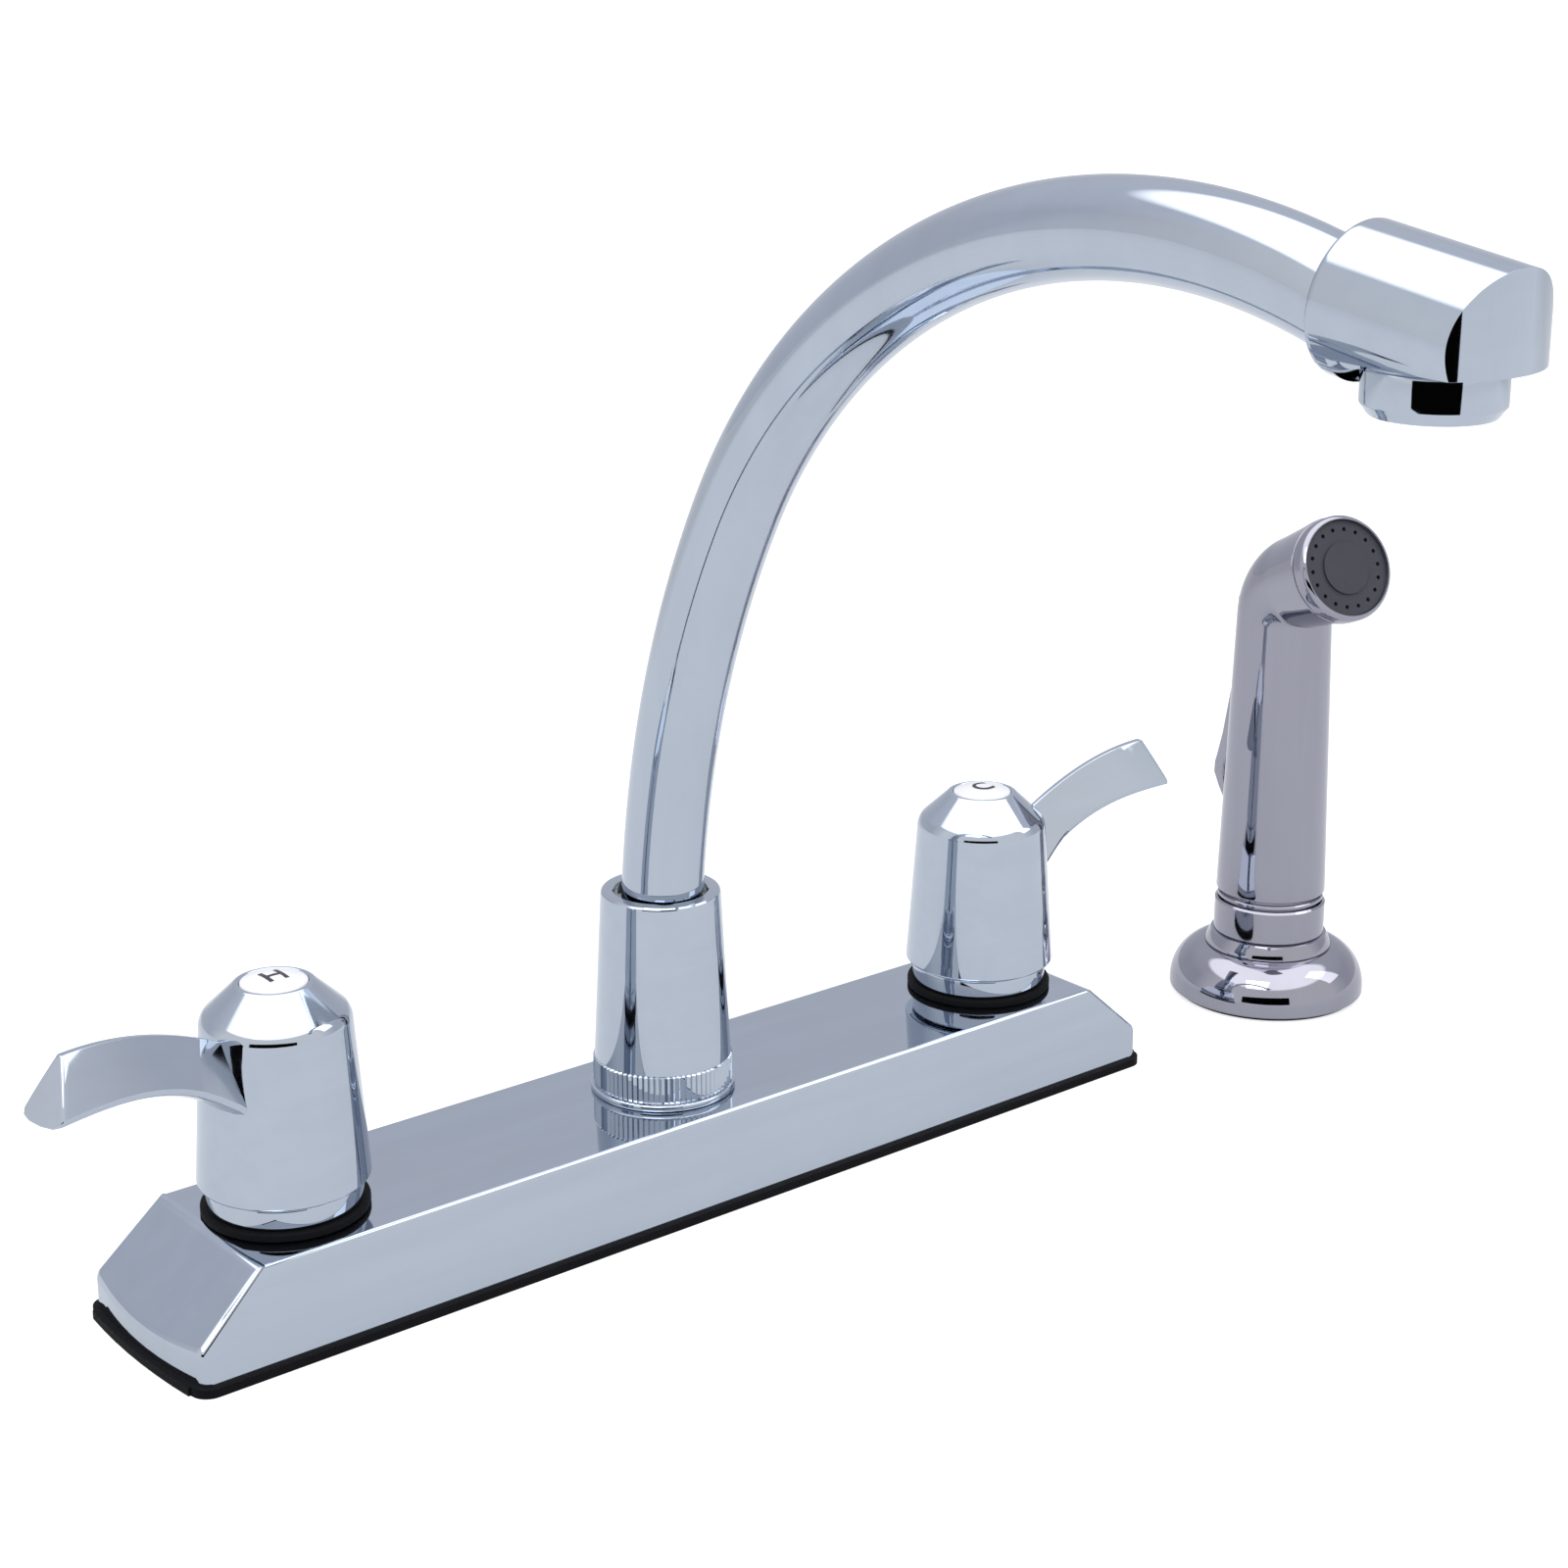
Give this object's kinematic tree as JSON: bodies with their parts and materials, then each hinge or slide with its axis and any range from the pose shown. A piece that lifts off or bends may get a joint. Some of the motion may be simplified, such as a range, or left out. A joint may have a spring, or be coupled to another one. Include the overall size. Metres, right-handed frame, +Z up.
{
  "type": "two handle kitchen faucet",
  "caption": "Chrome two handle deck faucet with a high swivel gooseneck spout on a faceted plate and a separate hand sprayer.",
  "frame": {"origin": "axis of the swivel spout where it meets the surface of the deck", "axes": "+X towards the cold handle and the sprayer, -Y towards the user and along the spout, +Z up"},
  "size_m": [0.392, 0.2541, 0.2995],
  "materials": {
    "chrome": "bright chrome plate",
    "spray_chrome": "bright chrome plate on a plastic moulding",
    "brass": "machined",
    "copper": "drawn tube, copper colour",
    "steel": "plain",
    "rubber": "matt black",
    "nylon": "natural",
    "button_white": "gloss white",
    "face_grey": "satin dark grey"
  },
  "bodies": {
    "faucet_base": {"deck_plate": "chrome", "deck_gasket": "rubber", "hot_valve_body": "brass", "cold_valve_body": "brass", "center_body": "brass", "hot_supply_tube": "copper", "cold_supply_tube": "copper", "mounting_nuts": "brass", "mounting_washers": "steel", "seat_springs": "steel", "valve_seats": "rubber", "hot_cartridge": "nylon", "cold_cartridge": "nylon", "stem_seals": "rubber", "bonnet_collars": "chrome", "collar_washers": "rubber", "spout_base_ring": "chrome", "spout_sleeve": "chrome", "spout_seals": "rubber", "diverter_seat": "rubber", "sprayer_gasket": "rubber", "sprayer_flange": "spray_chrome", "sprayer_holder": "nylon", "sprayer_washer": "steel", "sprayer_nut": "brass"},
    "hot_valve": {"hot_stem": "brass", "hot_handle": "chrome", "hot_handle_screw": "steel", "hot_index_button": "button_white"},
    "cold_valve": {"cold_stem": "brass", "cold_handle": "chrome", "cold_handle_screw": "steel", "cold_index_button": "button_white"},
    "spout": {"spout_tube": "chrome", "spout_stop_ring": "brass", "spout_bushing": "nylon", "spout_head": "chrome", "aerator_housing": "chrome", "aerator_insert": "nylon", "aerator_screen": "steel", "aerator_washer": "rubber"},
    "diverter": {"diverter_valve": "nylon"},
    "sprayer": {"sprayer_collar": "spray_chrome", "hose_coupling": "brass", "sprayer_body": "spray_chrome", "spray_face_ring": "spray_chrome", "spray_face": "face_grey", "trigger_pin": "steel", "trigger_spring": "steel"},
    "trigger": {"spray_trigger": "spray_chrome"},
    "plunger": {"spray_valve": "brass"}
  },
  "joints": [
    {"name": "hot_handle_turn", "type": "hinge", "parent": "faucet_base", "child": "hot_valve", "pos_m": [-0.1016, 0, 0.05], "axis": [0, 0, 1], "range_deg": [-14, 76]},
    {"name": "cold_handle_turn", "type": "hinge", "parent": "faucet_base", "child": "cold_valve", "pos_m": [0.1016, 0, 0.05], "axis": [0, 0, 1], "range_deg": [-90, 0]},
    {"name": "spout_swivel", "type": "hinge", "parent": "faucet_base", "child": "spout", "pos_m": [0, 0, 0.05], "axis": [0, 0, 1], "continuous": true},
    {"name": "diverter_lift", "type": "slide", "parent": "faucet_base", "child": "diverter", "axis": [0, 0, 1], "range_m": [0, 0.003]},
    {"name": "sprayer_lift", "type": "slide", "parent": "faucet_base", "child": "sprayer", "axis": [0, 0, 1], "range_m": [0, 0.07]},
    {"name": "trigger_press", "type": "hinge", "parent": "sprayer", "child": "trigger", "pos_m": [0.20407, -0.00104, 0.11], "axis": [-0.9744, 0.225, 0], "range_deg": [0, 5], "stiffness_Nm_per_rad": 0.3, "springref_deg": -11.46},
    {"name": "plunger_slide", "type": "slide", "parent": "sprayer", "child": "plunger", "axis": [-0.225, -0.9744, 0], "range_m": [0, 0.0024]}
  ],
  "couplings": [
    {"joint": "plunger_slide", "follows": "trigger_press", "m_per_rad": 0.0262}
  ]
}
